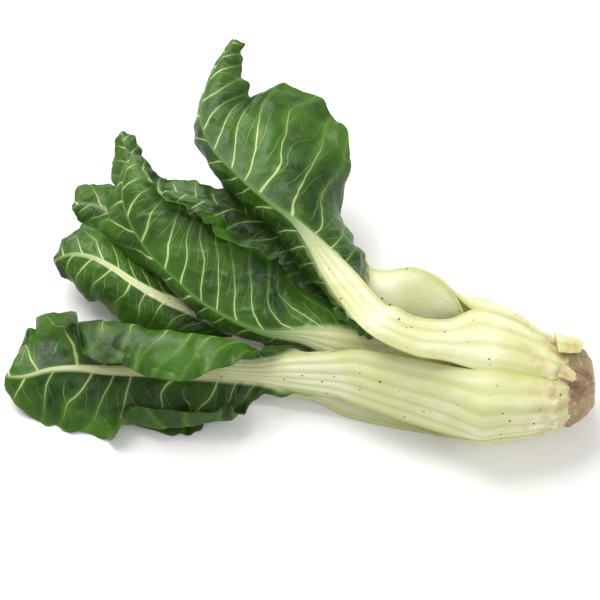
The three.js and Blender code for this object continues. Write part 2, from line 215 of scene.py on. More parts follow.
def sectionBase(station, base, s, inner, ribs):
    x, y, z, wide, high = station
    ring, turn, span = base
    thick = stalkWall * (0.6 + 0.4 * wide / bundleAxis[-1][3])
    size = 1 - ring * ringStep
    depth = (inner - 0.5) * wallAt(s, thick) - (1 - inner) * ribs * (1 - s ** 4)
    a = np.radians(turn + span * s)
    return np.stack([np.full_like(s, x), y - (wide * size - depth) * np.sin(a),
                     z + (high * size - depth) * np.cos(a)], -1)


def sectionFree(centre, run, back, width, thick, bend, s, inner, ribs):
    out = unit(back - run * np.dot(back, run))
    across = np.cross(out, run)
    radius = width / 2 / math.sin(math.radians(bend))
    a = np.radians(bend * s)
    depth = inner * wallAt(s, thick) - (1 - inner) * ribs * (1 - s ** 4)
    return (centre + across * ((radius - depth) * np.sin(a))[:, None]
            + out * ((radius - depth) * np.cos(a) - radius + thick / 2)[:, None])


def growStalk(name, leaf, material):
    sides, rings = leaf["tube"]
    bpy.ops.mesh.primitive_uv_sphere_add(segments=sides, ring_count=rings, radius=1)
    stalk = startMesh(name + "Stalk")
    ball = readVertices(stalk)
    t = 1 - np.arccos(np.clip(ball[:, 2], -1, 1)) / math.pi
    t = (t * rings - 1) / (rings - 2)  # the rings next to the poles are the end sections
    turn = np.arctan2(ball[:, 1], ball[:, 0])
    step = np.rint(turn / (2 * math.pi) * sides).astype(int) % sides
    angle = np.arange(sides) / sides * 2 * math.pi
    s = -np.cos(angle)
    inner = (np.sin(angle) < -1e-6).astype(float)
    ribShape = ridges(s, leaf["ridgeCount"])
    loops, widths = [], []
    ring, around, span = leaf["base"]
    rootEnd = [17, 7, 41, 31, 23]  # each base sinks into the crown
    for station in [rootEnd] + bundleAxis:
        loops.append(sectionBase(station, (ring, around, span * 1.07), s, inner,
                                 ribShape * leaf["ridge"] * (0.3 + 0.7 * station[3] / 56)))
        widths.append(50)
    stations = []
    for x, y, z, face, width, thick, bend in leaf["free"]:
        back = np.array([0, -math.sin(math.radians(face)), math.cos(math.radians(face))])
        stations.append((np.array([x, y, z], float), back, width, thick, bend * leaf.get("cup", 1)))
    ribs = np.array([row[0][:3] for row in leaf["blade"]], float)
    side = -1 if leaf.get("ribBelow") else 1
    bladeRows = len(leaf["blade"])
    for i, (rib, leftHalf, rightHalf) in enumerate(leaf["blade"]):
        pale = 1 - float(smooth(leaf["ribFade"][0], leaf["ribFade"][1], i / (bladeRows - 1)))
        run = unit(ribs[min(i + 1, len(ribs) - 1)] - ribs[max(i - 1, 0)])
        left = unit(np.cross([0, 0, 1], run))
        up = np.cross(run, left)
        tilt = math.radians((rightHalf[1] - leftHalf[1]) / 2)
        back = side * (up * math.cos(tilt) + left * math.sin(tilt))
        thick = max(1.2, min(8, (1.6 + rib[3] * 0.2) * (0.5 + 0.5 * pale)))
        width = rib[3] * (0.3 + 0.6 * pale)
        bend = (8 + width / 3) * leaf.get("cup", 1)
        stations.append((ribs[i] + back * thick * 0.2, back, width, thick, bend))
    for i, (centre, back, width, thick, bend) in enumerate(stations):
        before = stations[i - 1][0] if i else centre + np.array([30, -6, 0])
        after = stations[min(i + 1, len(stations) - 1)][0]
        loops.append(sectionFree(centre, unit(after - before), back, width, thick, bend, s, inner,
                                 ribShape * leaf["ridge"] * min(1, width / 40)))
        widths.append(width)
    ringLoops = throughStations(np.array(loops), np.clip(np.arange(rings - 1) / (rings - 2), 0, 1))
    ends = [ringLoops[0].mean(axis=0), ringLoops[-1].mean(axis=0)]
    at = np.rint(t * (rings - 2)).astype(int)
    points = ringLoops[np.clip(at, 0, rings - 2), step]
    points[at < 0] = ends[0]
    points[at > rings - 2] = ends[1]
    wobble = bumps(points * [0.4, 1, 1], 30, leaf["seed"] + 5, 2)
    widthAt = throughStations(np.array(widths, float)[:, None], np.clip(t, 0, 1))[:, 0]
    middle = ringLoops.mean(axis=1)[np.clip(at, 0, rings - 2)]
    ragged = bumps(points, 8, leaf["seed"] + 9, 3) * 2.6 * smooth(-14, 4, points[:, 0])
    points = points + unit(points - middle) * (wobble * np.minimum(0.8, widthAt * 0.018) + ragged)[:, None]
    placeVertices(stalk, points)
    # mask of the valleys between the ribs, where the groove tint and its painted shade go
    addField(stalk, "grooveTintAndShade", (1 - ribShape[step]) * (1 - inner[step]))
    addField(stalk, "acrossStalk", s[step])
    bladeStart = len(bundleAxis) + 1 + len(leaf["free"])
    bladePart = (np.clip(t, 0, 1) * (len(loops) - 1) - bladeStart) / (bladeRows - 1)
    addField(stalk, "ribPale", 1 - smooth(leaf["ribFade"][0], leaf["ribFade"][1], bladePart))
    finishShade(stalk)
    stalk.data.materials.append(material)
    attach(stalk, "root")
    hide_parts(name + "_stalk")
    print("stalk grown:", name, len(stalk.data.polygons))
    return stalk


# ---- shader helpers
def link(tree, source, target):
    tree.links.new(source, target)


def calc(tree, kind, first, second=None, third=None, clamp=False):
    node = tree.nodes.new("ShaderNodeMath")
    node.operation = kind
    node.use_clamp = clamp
    for socket, value in zip(node.inputs, (first, second, third)):
        if value is None:
            continue
        if isinstance(value, (int, float)):
            socket.default_value = value
        else:
            link(tree, value, socket)
    return node.outputs[0]


def fade(tree, value, low, high, toLow=0.0, toHigh=1.0):
    node = tree.nodes.new("ShaderNodeMapRange")
    node.interpolation_type = "SMOOTHSTEP"
    link(tree, value, node.inputs["Value"])
    for socket, number in (("From Min", low), ("From Max", high), ("To Min", toLow), ("To Max", toHigh)):
        if isinstance(number, (int, float)):
            node.inputs[socket].default_value = number
        else:
            link(tree, number, node.inputs[socket])
    return node.outputs["Result"]


def blend(tree, amount, first, second):
    node = tree.nodes.new("ShaderNodeMix")
    node.data_type = "RGBA"
    link(tree, amount, node.inputs["Factor"])
    for socket, colour in ((node.inputs[6], first), (node.inputs[7], second)):
        if isinstance(colour, tuple):
            socket.default_value = colour + (1,)
        else:
            link(tree, colour, socket)
    return node.outputs[2]


def field(tree, name):
    node = tree.nodes.new("ShaderNodeAttribute")
    node.attribute_name = name
    return node.outputs["Fac"]


def newGroup(name, inputs, outputs):
    group = bpy.data.node_groups.new(name, "ShaderNodeTree")
    for label, kind in inputs:
        group.interface.new_socket(name=label, in_out="INPUT", socket_type=kind)
    for label, kind in outputs:
        group.interface.new_socket(name=label, in_out="OUTPUT", socket_type=kind)
    return group, group.nodes.new("NodeGroupInput").outputs, group.nodes.new("NodeGroupOutput").inputs


def useGroup(tree, group, **values):
    node = tree.nodes.new("ShaderNodeGroup")
    node.node_tree = group
    for label, value in values.items():
        socket = node.inputs[label]
        if isinstance(value, (int, float)):
            socket.default_value = value
        else:
            link(tree, value, socket)
    return node.outputs


def veinGroup():
    # lateral veins at whole phases, forks between them towards the margin
    sockets = [("Phase", "NodeSocketFloat"), ("Across", "NodeSocketFloat"), ("Line", "NodeSocketFloat")]
    results = [("Vein", "NodeSocketFloat"), ("Halo", "NodeSocketFloat")]
    group, given, out = newGroup("leafVeins", sockets, results)
    half = calc(group, "FRACT", calc(group, "ADD", given["Phase"], 0.5))
    near = calc(group, "ABSOLUTE", calc(group, "SUBTRACT", half, 0.5))
    taper = calc(group, "MULTIPLY", given["Line"], fade(group, given["Across"], -0.1, 0.9, 1.5, 0.22))
    main = fade(group, near, calc(group, "MULTIPLY", taper, 0.5), taper, 1.0, 0.0)
    twice = calc(group, "MULTIPLY", given["Phase"], 2.0)
    forkAt = calc(group, "ADD", twice, calc(group, "MULTIPLY", given["Across"], 2.6))
    forkHalf = calc(group, "FRACT", forkAt)
    forkNear = calc(group, "ABSOLUTE", calc(group, "SUBTRACT", forkHalf, 0.5))
    thin = calc(group, "MULTIPLY", taper, 0.9)
    forkLine = fade(group, forkNear, calc(group, "MULTIPLY", thin, 0.4), thin, 1.0, 0.0)
    fork = calc(group, "MULTIPLY", forkLine, fade(group, given["Across"], 0.12, 0.4))
    link(group, calc(group, "MAXIMUM", main, calc(group, "MULTIPLY", fork, 0.45)), out["Vein"])
    link(group, fade(group, near, 0.0, 0.24, 1.0, 0.0), out["Halo"])
    return group


def mottleGroup():
    # soft uneven patches
    sockets = [("Place", "NodeSocketVector"), ("Size", "NodeSocketFloat"), ("Detail", "NodeSocketFloat")]
    group, given, out = newGroup("softMottle", sockets, [("Patch", "NodeSocketFloat")])
    cloud = group.nodes.new("ShaderNodeTexNoise")
    link(group, given["Place"], cloud.inputs["Vector"])
    link(group, given["Size"], cloud.inputs["Scale"])
    link(group, given["Detail"], cloud.inputs["Detail"])
    link(group, fade(group, cloud.outputs["Fac"], 0.32, 0.68), out["Patch"])
    return group


def speckGroup():
    # scattered small dark specks of soil
    sockets = [("Place", "NodeSocketVector"), ("Size", "NodeSocketFloat"), ("Amount", "NodeSocketFloat")]
    group, given, out = newGroup("soilSpecks", sockets, [("Speck", "NodeSocketFloat")])
    cells = group.nodes.new("ShaderNodeTexVoronoi")
    link(group, given["Place"], cells.inputs["Vector"])
    link(group, given["Size"], cells.inputs["Scale"])
    pick = group.nodes.new("ShaderNodeSeparateColor")
    link(group, cells.outputs["Color"], pick.inputs["Color"])
    chosen = calc(group, "LESS_THAN", pick.outputs["Red"], given["Amount"])
    radius = calc(group, "MULTIPLY", pick.outputs["Green"], 0.24)
    dot = fade(group, cells.outputs["Distance"], calc(group, "MULTIPLY", radius, 0.6), radius, 1.0, 0.0)
    link(group, calc(group, "MULTIPLY", chosen, dot), out["Speck"])
    return group


def newMaterial(name, roughness, **sockets):
    material = bpy.data.materials.new(name)
    material.use_nodes = True
    skin = material.node_tree.nodes["Principled BSDF"]
    skin.inputs["Roughness"].default_value = roughness
    for label, value in sockets.items():
        skin.inputs[label].default_value = value
    place = material.node_tree.nodes.new("ShaderNodeTexCoord").outputs["Object"]
    return material, material.node_tree, skin, place


def addBump(tree, skin, height, strength, distance):
    bump = tree.nodes.new("ShaderNodeBump")
    bump.inputs["Strength"].default_value = strength
    bump.inputs["Distance"].default_value = distance
    link(tree, height, bump.inputs["Height"])
    link(tree, bump.outputs["Normal"], skin.inputs["Normal"])


leafVeins, softMottle, soilSpecks = veinGroup(), mottleGroup(), speckGroup()

bladeLook = dict(
    deep=(0.006, 0.026, 0.002), green=(0.046, 0.135, 0.007), young=(0.12, 0.26, 0.020),
    vein=(0.52, 0.62, 0.27), rib=(0.70, 0.76, 0.40),
    line=0.04, roughness=0.36, netSize=230,
)


def bladeMaterial():
    look = bladeLook
    material, tree, skin, place = newMaterial("leafSkin", look["roughness"], **{"Specular IOR Level": 0.3})
    across, fromRib = field(tree, "across"), field(tree, "fromRib")
    veins = useGroup(tree, leafVeins, Phase=field(tree, "veinPhase"), Across=across, Line=look["line"])
    patch = useGroup(tree, softMottle, Place=place, Size=16.0, Detail=3.0)["Patch"]
    fine = useGroup(tree, softMottle, Place=place, Size=90.0, Detail=5.0)["Patch"]
    colour = blend(tree, patch, look["deep"], look["green"])
    colour = blend(tree, calc(tree, "MULTIPLY", fine, 0.35), colour, look["green"])
    colour = blend(tree, calc(tree, "MULTIPLY", veins["Halo"], 0.30), colour, look["young"])
    cells = tree.nodes.new("ShaderNodeTexVoronoi")
    cells.feature = "DISTANCE_TO_EDGE"
    cells.inputs["Scale"].default_value = look["netSize"]
    link(tree, place, cells.inputs["Vector"])
    netLine = fade(tree, cells.outputs["Distance"], 0.0, 0.10, 1.0, 0.0)
    colour = blend(tree, calc(tree, "MULTIPLY", netLine, 0.06), colour, look["young"])
    fading = fade(tree, across, 0.2, 1.0, 1.0, 0.22)
    fading = calc(tree, "MULTIPLY", fading, fade(tree, patch, 0.0, 1.0, 0.6, 1.0))
    colour = blend(tree, calc(tree, "MULTIPLY", veins["Vein"], fading), colour, look["vein"])
    ribMask = fade(tree, fromRib, 0.75, 1.25, 1.0, 0.0)
    ribPale = field(tree, "ribPale")
    ribColour = blend(tree, ribPale, look["young"], look["rib"])
    ribMask = calc(tree, "MULTIPLY", ribMask, fade(tree, ribPale, 0.0, 1.0, 0.25, 1.0))
    colour = blend(tree, ribMask, colour, ribColour)
    link(tree, colour, skin.inputs["Base Color"])
    link(tree, fade(tree, fine, 0.0, 1.0, 0.34, 0.46), skin.inputs["Roughness"])
    crinkle = tree.nodes.new("ShaderNodeTexNoise")
    crinkle.inputs["Scale"].default_value = 42.0
    crinkle.inputs["Detail"].default_value = 2.0
    link(tree, place, crinkle.inputs["Vector"])
    height = calc(tree, "MULTIPLY", veins["Vein"], 0.6)
    height = calc(tree, "SUBTRACT", height, calc(tree, "MULTIPLY", netLine, 0.12))
    height = calc(tree, "ADD", height, calc(tree, "MULTIPLY", crinkle.outputs["Fac"], 2.2))
    addBump(tree, skin, height, 0.45, 0.0014)
    return material


# the groove colour is the stalk's yellow-green groove tint, darkened further as painted shade for the
# valleys
stalkLook = dict(
    # marginShade is painted shade for the stalk margins, not a colour of the stalk
    cream=(0.66, 0.68, 0.34), grooveTintAndShade=(0.44, 0.48, 0.12), pale=(0.80, 0.80, 0.56), marginShade=(0.38, 0.41, 0.06),
    stain=(0.50, 0.33, 0.12), soil=(0.08, 0.05, 0.025), ribTip=(0.10, 0.22, 0.045), roughness=0.40,
)


def stalkMaterial():
    look = stalkLook
    gloss = {"Coat Weight": 0.1, "Coat Roughness": 0.35}
    material, tree, skin, place = newMaterial("stalkFlesh", look["roughness"], **gloss)
    stretch = tree.nodes.new("ShaderNodeMapping")
    stretch.inputs["Scale"].default_value = (9, 130, 130)
    link(tree, place, stretch.inputs["Vector"])
    fibre = useGroup(tree, softMottle, Place=stretch.outputs["Vector"], Size=1.0, Detail=3.0)["Patch"]
    patch = useGroup(tree, softMottle, Place=place, Size=22.0, Detail=2.0)["Patch"]
    grooveTintAndShade = field(tree, "grooveTintAndShade")
    colour = blend(tree, patch, look["cream"], look["pale"])
    # fine fibre streaks, tinted with the same groove colour
    colour = blend(tree, calc(tree, "MULTIPLY", fibre, 0.16), colour, look["grooveTintAndShade"])
    # painted shade: the valleys between the ribs take the yellow-green groove tint and are darkened
    # further, standing in for the shade that falls in the valleys
    colour = blend(tree, calc(tree, "MULTIPLY", fade(tree, grooveTintAndShade, 0.3, 1.0), 0.45), colour, look["grooveTintAndShade"])
    # painted shade: both margins of every stalk are darkened towards olive, standing in for the shade where
    # the stalk turns away from the light
    edge = fade(tree, calc(tree, "ABSOLUTE", field(tree, "acrossStalk")), 0.72, 1.0)
    colour = blend(tree, calc(tree, "MULTIPLY", edge, 0.5), colour, look["marginShade"])
    axis = tree.nodes.new("ShaderNodeSeparateXYZ")
    link(tree, place, axis.inputs["Vector"])
    nearCrown = fade(tree, axis.outputs["X"], 0.165, 0.215)
    stainPatch = useGroup(tree, softMottle, Place=place, Size=70.0, Detail=4.0)["Patch"]
    stained = calc(tree, "MULTIPLY", nearCrown, calc(tree, "POWER", stainPatch, 1.6))
    colour = blend(tree, calc(tree, "MULTIPLY", stained, 0.7), colour, look["stain"])
    soil = useGroup(tree, soilSpecks, Place=place, Size=190.0, Amount=0.3)["Speck"]
    grit = useGroup(tree, soilSpecks, Place=place, Size=460.0, Amount=0.4)["Speck"]
    grit = calc(tree, "MULTIPLY", grit, calc(tree, "MULTIPLY", stainPatch, 0.8))
    soil = calc(tree, "MAXIMUM", soil, grit)
    colour = blend(tree, soil, colour, look["soil"])
    colour = blend(tree, field(tree, "ribPale"), look["ribTip"], colour)
    link(tree, colour, skin.inputs["Base Color"])
    addBump(tree, skin, fibre, 0.25, 0.0006)
    return material


crownLook = dict(
    tan=(0.54, 0.43, 0.24), brown=(0.20, 0.115, 0.05), pink=(0.52, 0.33, 0.22), cut=(0.60, 0.52, 0.33),
    cream=(0.66, 0.60, 0.36), pit=(0.030, 0.016, 0.008), roughness=0.8,
)


def crownMaterial():
    look = crownLook
    material, tree, skin, place = newMaterial("crownSkin", look["roughness"])
    patch = useGroup(tree, softMottle, Place=place, Size=55.0, Detail=6.0)["Patch"]
    blush = useGroup(tree, softMottle, Place=place, Size=34.0, Detail=3.0)["Patch"]
    fine = useGroup(tree, softMottle, Place=place, Size=240.0, Detail=6.0)["Patch"]
    colour = blend(tree, blush, look["tan"], look["pink"])
    scars = calc(tree, "MULTIPLY", calc(tree, "POWER", patch, 2.5), 0.75)
    colour = blend(tree, scars, colour, look["brown"])
    axis = tree.nodes.new("ShaderNodeSeparateXYZ")
    link(tree, place, axis.inputs["Vector"])
    cutFace = fade(tree, axis.outputs["X"], 0.2455, 0.2465)
    cutFace = calc(tree, "MULTIPLY", cutFace, fade(tree, fine, 0.0, 1.0, 1.0, 0.6))
    colour = blend(tree, cutFace, colour, look["cut"])
    colour = blend(tree, calc(tree, "MULTIPLY", fine, 0.3), colour, look["brown"])
    collar = fade(tree, axis.outputs["X"], 0.214, 0.228, 1.0, 0.0)
    collar = calc(tree, "MULTIPLY", collar, fade(tree, patch, 0.0, 1.0, 0.9, 0.3))
    colour = blend(tree, collar, colour, look["cream"])
    pits = useGroup(tree, soilSpecks, Place=place, Size=95.0, Amount=0.35)["Speck"]
    colour = blend(tree, calc(tree, "MULTIPLY", pits, 0.85), colour, look["pit"])
    link(tree, colour, skin.inputs["Base Color"])
    addBump(tree, skin, calc(tree, "SUBTRACT", calc(tree, "ADD", patch, fine), pits), 0.8, 0.0018)
    return material


leafSkin, stalkFlesh, crownSkin = bladeMaterial(), stalkMaterial(), crownMaterial()
print("materials ready")


def growLeaf(name, leaf):
    growStalk(name, leaf, stalkFlesh)
    growBlade(name, leaf, leafSkin)


# ---- the leaves: base is ring, turn round the axis (0 up, 90 to the front) and half span in degrees;
# free is x, y, z, the way the stalk's back faces, width, thickness and half bend;
# blade is midrib x, y, z and width, then the left and the right half: width, slope at the rib,
# slope at the margin, turn of the crease, lead of the margin to the tip

crestLeaf = dict(
    base=[0, -12, 28],
    free=[[-85, 26, 82, -10, 44, 10, 28], [-112, 25, 90, -5, 38, 9, 24],
          [-134, 32, 96, 5, 34, 9, 22]],
    crease=[0.5, 0.5],
    blade=[
        [[-148, 42, 93, 32], [12, -15, -35], [12, -12, -35]],
        [[-165, 65, 95, 29], [20, -30, -80], [36, -15, -90, 0, -5]],
        [[-180, 85, 99, 26], [36, -25, -120], [48, -15, -65, 0, -5]],
        [[-195, 105, 104, 22], [40, -30, -120], [54, -10, -60, 0, -10]],
        [[-212, 125, 108, 16], [40, -40, -125], [65, 0, -80, 0, -15]],
        [[-233, 142, 111, 10], [38, -60, -120], [92, 5, -25, 0, -20]],
        [[-257, 165, 113, 7], [42, -65, -120], [112, 10, -25, 0, 5]],
        [[-282, 195, 115, 5], [42, -65, -125], [94, 12, -25, 0, 30]],
        [[-292, 225, 118, 4], [44, -55, -135], [52, 20, -50, 0, 20]],
        [[-287, 255, 120, 3], [34, -60, -125], [30, 20, -55, 0, 20]],
        [[-275, 285, 121, 2.5], [20, -45, -125, 0, -10], [14, 20, -70, 0, 15]],
        [[-264, 305, 121, 2], [5, -60, -100], [5, 0, -50]],
    ],
    ribFade=(0.12, 0.42),
    grid=(200, 180), tube=(96, 170), seed=3,
    veinGap=24, veinSweep=0.83, veinRelief=0.49,
    pucker=1.6, puckerSize=26, ruffle=2.5, ruffleSize=38,
    ridgeCount=4, ridge=0.6,
)
growLeaf("crest", crestLeaf)

frontLeaf = dict(
    base=[0, 58, 38],
    free=[[-85, -19, 56, 54, 62, 10, 32], [-125, -5, 54, 51, 55, 10, 27],
          [-160, 8, 50, 50, 50, 9, 24]],
    crease=[0.7, 0.5],
    blade=[
        [[-180, 15, 42, 44], [22, -50, -60], [20, 50, 50]],
        [[-215, 20, 36, 32], [20, -45, -55], [20, 50, 45]],
        [[-245, 22, 32, 20], [24, -35, -50], [45, 45, 60, 85]],
        [[-275, 24, 31, 18], [60, -25, -30, 135, -15], [75, 50, 95, 90]],
        [[-305, 24, 28, 12], [64, -25, -35, 145, -25], [90, 50, 105, 100, -5]],
        [[-340, 26, 26, 8], [72, -25, -30, 150, -30], [95, 45, 100, 100, -10]],
        [[-370, 27, 25, 6.5], [68, -25, -25, 150, -25], [96, 30, 90, 100, -15]],
        [[-395, 28, 27, 5], [60, -25, -20, 0, -25], [86, 20, 85, 100, -10]],
        [[-418, 26, 28, 4], [52, -30, -35], [50, 5, 10, 40, -20]],
        [[-438, 20, 28, 3], [40, -40, -50], [56, 0, -25, 0, -15]],
        [[-450, 20, 26, 2.5], [28, -35, -55, 0, -5], [48, 5, -10]],
        [[-457, 22, 24, 2], [14, -35, -55], [24, 5, -10, 0, -5]],
    ],
    ribFade=(0.35, 1.3),
    grid=(200, 180), tube=(112, 170), seed=11,
    veinGap=26, veinSweep=0.9, veinRelief=0.42,
    pucker=1.3, puckerSize=24, ruffle=2.2, ruffleSize=34,
    ridgeCount=5, ridge=1.0,
)
growLeaf("front", frontLeaf)

middleLeaf = dict(
    base=[1, 14, 33],
    free=[[-85, 18, 62, 8, 34, 9, 22], [-120, 26, 57, 4, 34, 9, 20]],
    crease=[0.5, 0.75],
    blade=[
        [[-145, 34, 50, 32], [8, -40, -80], [6, 30, -30]],
        [[-175, 40, 50, 30], [16, -50, -95], [30, 30, -25]],
        [[-205, 46, 52, 20], [14, -55, -90], [45, 25, -20]],
        [[-235, 48, 53, 16], [20, -60, -125], [60, 20, 20]],
        [[-260, 58, 54, 10], [26, -50, -130], [70, 25, 5, 80]],
        [[-288, 74, 57, 7], [26, -45, -130], [80, 25, 5, 130, 20]],
        [[-312, 95, 61, 5], [26, -60, -130], [86, 30, 0, 150, 12]],
        [[-335, 118, 67, 4], [26, -60, -110], [75, 30, 0, 135]],
        [[-353, 145, 75, 3.5], [30, -35, -45, 0, 10], [50, 30, -5, 110]],
        [[-360, 172, 80, 3], [20, -40, -50, 0, -15], [34, 40, -10, 80]],
        [[-356, 195, 85, 2.5], [8, -40, -60, 0, -10], [15, 20, -10]],
        [[-352, 208, 86, 2], [4, -30, -60], [6, -5, -20]],
    ],
    ribFade=(0.05, 0.32),
    grid=(200, 170), tube=(88, 150), seed=5,
    veinGap=24, veinSweep=1, veinRelief=0.42,
    pucker=1.4, puckerSize=24, ruffle=2.0, ruffleSize=34,
    ridgeCount=4, ridge=0.6,
)
growLeaf("middle", middleLeaf)

sideLeaf = dict(
    base=[1, 112, 36],
    free=[[-85, 8, 29, 140, 34, 9, 24], [-125, 28, 29, 158, 30, 8, 20],
          [-172, 46, 27, 170, 26, 7, 18], [-225, 60, 25, 176, 20, 6, 16]],
    ribBelow=True,
    crease=[0.5, 0.5],
    blade=[
        [[-262, 70, 25, 14], [10, -15, -45], [12, 0, -20, 0, 10]],
        [[-298, 85, 28, 10], [26, -15, -50], [32, 0, -20, 0, 25]],
        [[-327, 94, 34, 7], [32, -5, -70, 0, -15], [38, 0, -15, 0, 25]],
        [[-350, 104, 42, 5], [35, -5, -65, 0, -25], [36, -5, -20, 0, 25]],
        [[-368, 115, 47, 4], [35, -5, -80, 0, -20], [34, 0, -35, 0, 25]],
        [[-387, 125, 49, 3], [40, -15, -85, 0, -10], [34, 0, -30, 0, 20]],
        [[-406, 129, 47, 2.5], [34, -15, -80], [30, -5, -25]],
        [[-421, 126, 41, 2], [14, -25, -75], [10, -25, -40, 0, -5]],
    ],
    ribFade=(0.3, 1.3),
    grid=(140, 120), tube=(64, 130), seed=7,
    veinGap=19, veinSweep=1, veinRelief=0.35,
    pucker=1.2, puckerSize=20, ruffle=1.8, ruffleSize=28,
    ridgeCount=5, ridge=0.9,
)
growLeaf("side", sideLeaf)

backLeaf = dict(
    base=[1, -68, 26],
    free=[[-85, 64, 56, -118, 50, 9, 18], [-116, 82, 54, -138, 54, 9, 14]],
    ribBelow=True,
    crease=[0.5, 0.5],
    blade=[
        [[-146, 94, 51, 40], [24, 0, 10, 0, -10], [16, 30, 40, 0, 10]],
        [[-175, 114, 51, 28], [30, -5, 0, 0, -15], [24, 15, 20, 0, 5]],
        [[-207, 137, 53, 18], [38, -10, -5, 0, -15], [28, 15, 10, 0, 10]],
        [[-236, 157, 55, 12], [38, -10, -10, 0, -15], [30, 15, 10, 0, 5]],
        [[-264, 170, 57, 8], [36, -10, -10, 0, -5], [18, 20, 10]],
        [[-291, 178, 58, 5], [30, -10, -20, 0, -5], [14, 15, 0]],
        [[-311, 186, 58, 4], [18, -15, -25, 0, -5], [14, 10, 0]],
        [[-327, 190, 56, 3], [8, -20, -40], [8, 10, 0]],
    ],
    ribFade=(0.12, 0.45),
    grid=(140, 120), tube=(88, 130), seed=9,
    veinGap=20, veinSweep=1.2, veinRelief=0.35,
    pucker=1.3, puckerSize=20, ruffle=2.0, ruffleSize=30,
    ridgeCount=3, ridge=0.5, cup=0.3,
)
growLeaf("back", backLeaf)

farLeaf = dict(
    base=[1, -160, 36],
    free=[[-85, 46, 21, -158, 30, 8, 22], [-125, 56, 23, -166, 28, 7, 20],
          [-172, 78, 25, -174, 24, 7, 18], [-225, 106, 28, 180, 18, 6, 16]],
    ribBelow=True,
    crease=[0.5, 0.5],
    blade=[
        [[-264, 134, 37, 12], [10, -5, -5, 0, -5], [16, -5, -5, 0, 5]],
        [[-298, 163, 45, 8], [20, -5, -5, 0, -5], [25, -5, -5, 0, 5]],
        [[-330, 188, 50, 6], [28, -5, -10, 0, -5], [18, 0, -10]],
        [[-348, 213, 54, 4], [28, -5, -25], [12, 0, -60, 0, -5]],
        [[-359, 229, 58, 3], [20, -15, -40], [12, 5, -30, 0, -5]],
        [[-364, 240, 60, 2.5], [10, -30, -50], [10, 0, -25]],
        [[-366, 250, 60, 2], [4, -30, -60], [4, -20, -30]],
    ],
    ribFade=(0.1, 0.8),
    grid=(110, 90), tube=(56, 110), seed=13,
    veinGap=17, veinSweep=1.2, veinRelief=0.28,
    pucker=1.0, puckerSize=18, ruffle=1.4, ruffleSize=24,
    ridgeCount=3, ridge=0.7,
)
growLeaf("far", farLeaf)

smallLeaf = dict(
    base=[2, 60, 60],
    free=[[-85, 24, 46, 60, 16, 7, 18], [-125, 36, 44, 110, 16, 6, 16],
          [-172, 56, 40, 150, 15, 6, 14], [-225, 82, 36, 172, 13, 6, 12]],
    ribBelow=True,
    crease=[0.5, 0.5],
    blade=[
        [[-268, 106, 36, 10], [4, -10, -10], [5, 0, 0]],
        [[-312, 136, 33, 7], [8, -10, -10], [12, 0, 0, 0, 5]],
        [[-346, 158, 36, 5], [16, -15, -20], [20, 0, -15, 0, 5]],
        [[-371, 177, 38, 4], [20, -15, -35], [26, -5, -20, 0, 10]],
        [[-389, 186, 38, 3], [20, -10, -45], [28, 0, -20]],
        [[-402, 187, 38, 2.5], [14, -15, -60, 0, 5], [20, -5, -15, 0, -10]],
        [[-409, 182, 37, 2], [4, -20, -60], [6, -20, -45, 0, -10]],
    ],
    ribFade=(0.1, 0.9),
    grid=(110, 90), tube=(48, 110), seed=15,
    veinGap=17, veinSweep=1, veinRelief=0.28,
    pucker=1.0, puckerSize=17, ruffle=1.4, ruffleSize=24,
    ridgeCount=3, ridge=0.6,
)
growLeaf("small", smallLeaf)

heartLeaf = dict(
    base=[1, -32, 6],
    free=[[-92, 44, 68, -24, 12, 5, 16]],
    crease=[0.5, 0.5],
    blade=[
        [[-119, 35, 74, 9], [4, 0, 0], [4, 0, 0]],
        [[-143, 40, 74, 6], [8, -10, -30, 0, -5], [8, 0, -10]],
        [[-160, 51, 74, 4], [10, -25, -45, 0, -10], [12, 0, -10]],
        [[-171, 58, 74, 3], [8, -25, -55, 0, -10], [10, 0, -10]],
        [[-177, 64, 73, 2], [4, -25, -60], [6, 0, -10]],
    ],
    ribFade=(0.0, 0.6),
    grid=(80, 60), tube=(48, 80), seed=17,
    veinGap=12, veinSweep=1.2, veinRelief=0.21,
    pucker=0.7, puckerSize=13, ruffle=1.0, ruffleSize=16,
    ridgeCount=3, ridge=0.5,
)
growLeaf("heart", heartLeaf)

underLeaf = dict(
    base=[0, 140, 40],
    free=[[-80, 4, 4, 178, 58, 11, 8], [-122, 9, 3.8, 180, 50, 10, 6],
          [-164, 15, 4, 180, 40, 9, 6]],
    ribBelow=True,
    crease=[0.5, 0.5],
    blade=[
        [[-195, 19, 14, 28], [8, -5, -5], [16, 0, -5]],
        [[-240, 21, 11, 18], [5, -5, -10], [22, 0, -10]],
        [[-282, 20, 8, 11], [22, -5, -10, 0, -5], [30, 0, -5]],
        [[-323, 18, 6, 8], [42, -5, -5, 0, -20], [38, 0, -5]],
        [[-364, 18, 6, 5], [34, -5, -5, 0, -25], [36, 0, -5]],
        [[-400, 20, 6, 3.5], [20, -10, -5, 0, -10], [24, 0, -5]],
        [[-430, 26, 6, 2.5], [8, -10, -10], [12, 0, -10]],
    ],
    ribFade=(0.1, 0.7),
    grid=(140, 110), tube=(88, 130), seed=19,
    veinGap=20, veinSweep=0.9, veinRelief=0.28,
    pucker=0.9, puckerSize=20, ruffle=1.6, ruffleSize=28,
    ridgeCount=7, ridge=1.3,
)
growLeaf("under", underLeaf)

